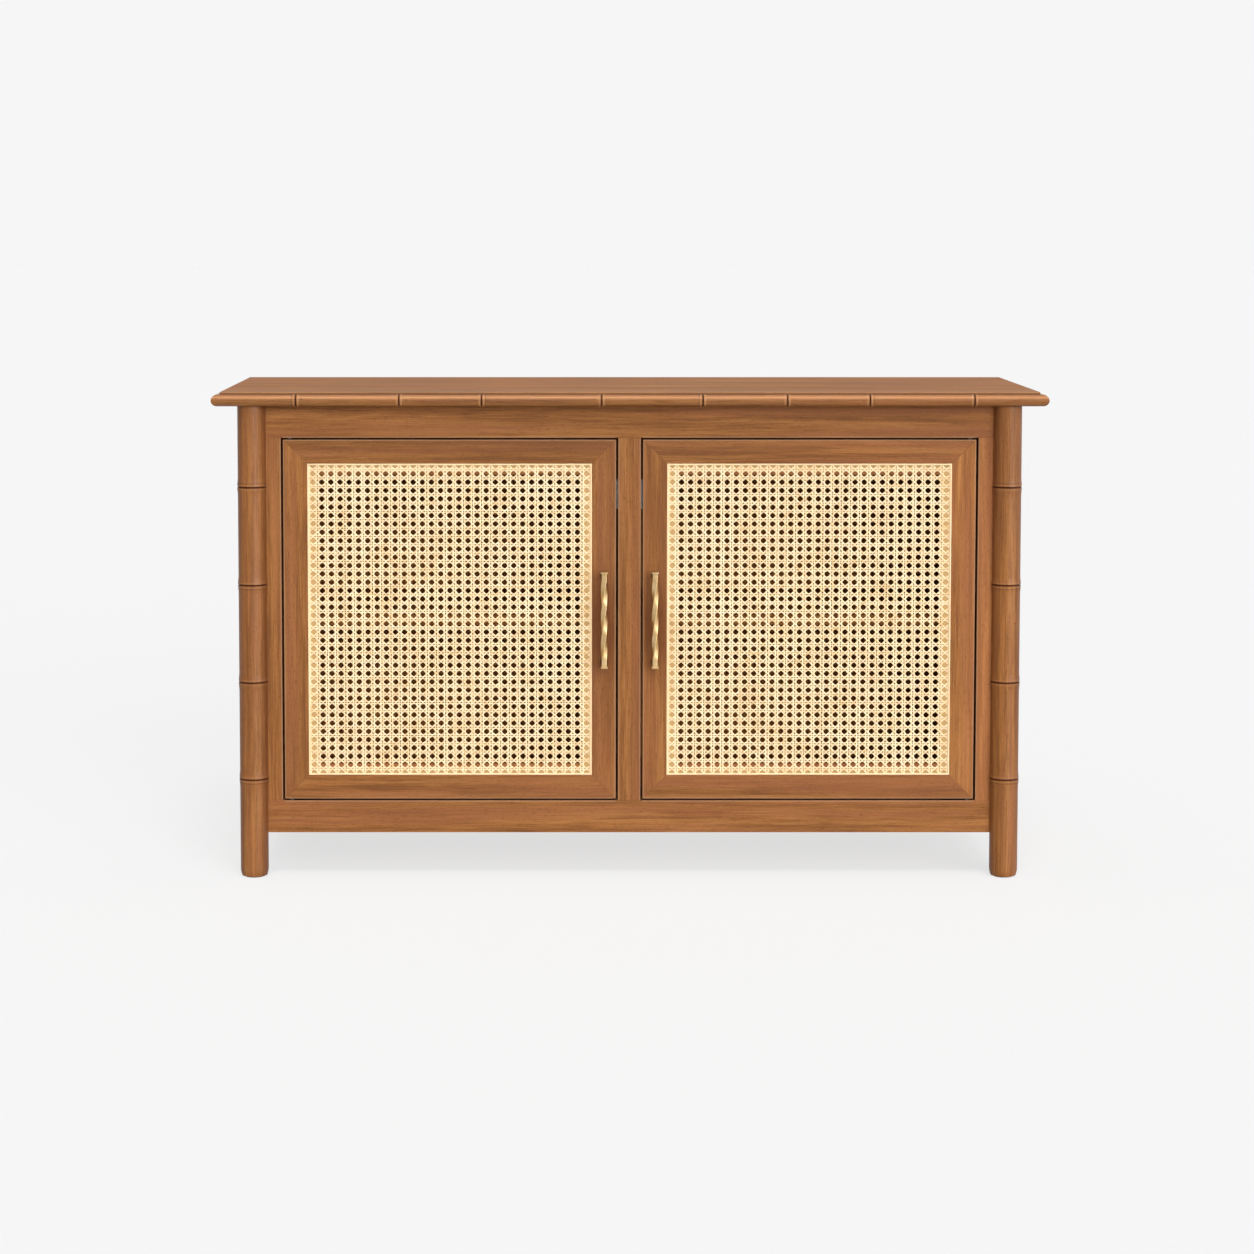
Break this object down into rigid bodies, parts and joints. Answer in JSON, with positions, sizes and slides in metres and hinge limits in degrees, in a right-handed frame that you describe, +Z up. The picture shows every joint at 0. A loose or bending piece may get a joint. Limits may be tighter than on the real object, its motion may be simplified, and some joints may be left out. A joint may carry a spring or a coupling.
{
  "type": "media console",
  "caption": "Low media console with inset cane webbing doors, a bamboo-style split-rod edged top and turned node-ringed legs; the doors swing on top and bottom pivots.",
  "frame": {"origin": "on the floor under the middle of the cabinet's outline", "axes": "+Z up, -Y to the front with the doors, +X to the right seen from the front"},
  "size_m": [1.2998, 0.4569, 0.765],
  "materials": {
    "frame_wood": "satin lacquer over a mid-brown stain",
    "turned_wood": "satin lacquer over a mid-brown stain",
    "top_wood": "satin lacquer over a mid-brown stain",
    "inner_wood": "thin lacquer",
    "cane_webbing": "natural, unvarnished",
    "cane_spline": "natural, unvarnished",
    "brass": "satin, pale",
    "steel": "zinc plated",
    "white_plastic": "moulded",
    "dark_plastic": "moulded"
  },
  "bodies": {
    "cabinet": {"top_board": "top_wood", "top_edge_front": "turned_wood", "top_edge_left": "turned_wood", "top_edge_right": "turned_wood", "front_left_leg": "turned_wood", "front_right_leg": "turned_wood", "rear_left_leg": "turned_wood", "rear_right_leg": "turned_wood", "foot_glides": "dark_plastic", "leg_dowels": "inner_wood", "frame_top_rail": "frame_wood", "frame_bottom_rail": "frame_wood", "frame_left_stile": "frame_wood", "frame_right_stile": "frame_wood", "frame_centre_stile": "frame_wood", "left_side_panel": "frame_wood", "right_side_panel": "frame_wood", "bottom_panel": "inner_wood", "centre_partition": "inner_wood", "rear_top_rail": "inner_wood", "rear_bottom_rail": "inner_wood", "left_back_panel": "inner_wood", "right_back_panel": "inner_wood", "back_panel_screws": "steel", "cable_grommets": "dark_plastic", "left_shelf": "inner_wood", "right_shelf": "inner_wood", "shelf_pins": "steel", "top_cleats": "inner_wood", "cleat_screws": "steel", "magnet_catches": "white_plastic", "catch_poles": "steel", "catch_screws": "steel", "case_pivot_plates": "brass", "case_pivot_screws": "brass", "pivot_washers": "dark_plastic"},
    "left_door": {"left_door_hinge_stile": "frame_wood", "left_door_pull_stile": "frame_wood", "left_door_top_rail": "frame_wood", "left_door_bottom_rail": "frame_wood", "left_cane_panel": "cane_webbing", "left_cane_bead": "cane_spline", "left_pull": "brass", "left_pull_screws": "steel", "left_door_pivot_plates": "brass", "left_door_pivot_screws": "brass", "left_strike_plate": "steel"},
    "right_door": {"right_door_hinge_stile": "frame_wood", "right_door_pull_stile": "frame_wood", "right_door_top_rail": "frame_wood", "right_door_bottom_rail": "frame_wood", "right_cane_panel": "cane_webbing", "right_cane_bead": "cane_spline", "right_pull": "brass", "right_pull_screws": "steel", "right_door_pivot_plates": "brass", "right_door_pivot_screws": "brass", "right_strike_plate": "steel"}
  },
  "joints": [
    {"name": "left_door_hinge", "type": "hinge", "parent": "cabinet", "child": "left_door", "pos_m": [-0.5316, -0.188, 0.406], "axis": [0, 0, -1], "range_deg": [0, 110]},
    {"name": "right_door_hinge", "type": "hinge", "parent": "cabinet", "child": "right_door", "pos_m": [0.5316, -0.188, 0.406], "axis": [0, 0, 1], "range_deg": [0, 110]}
  ]
}
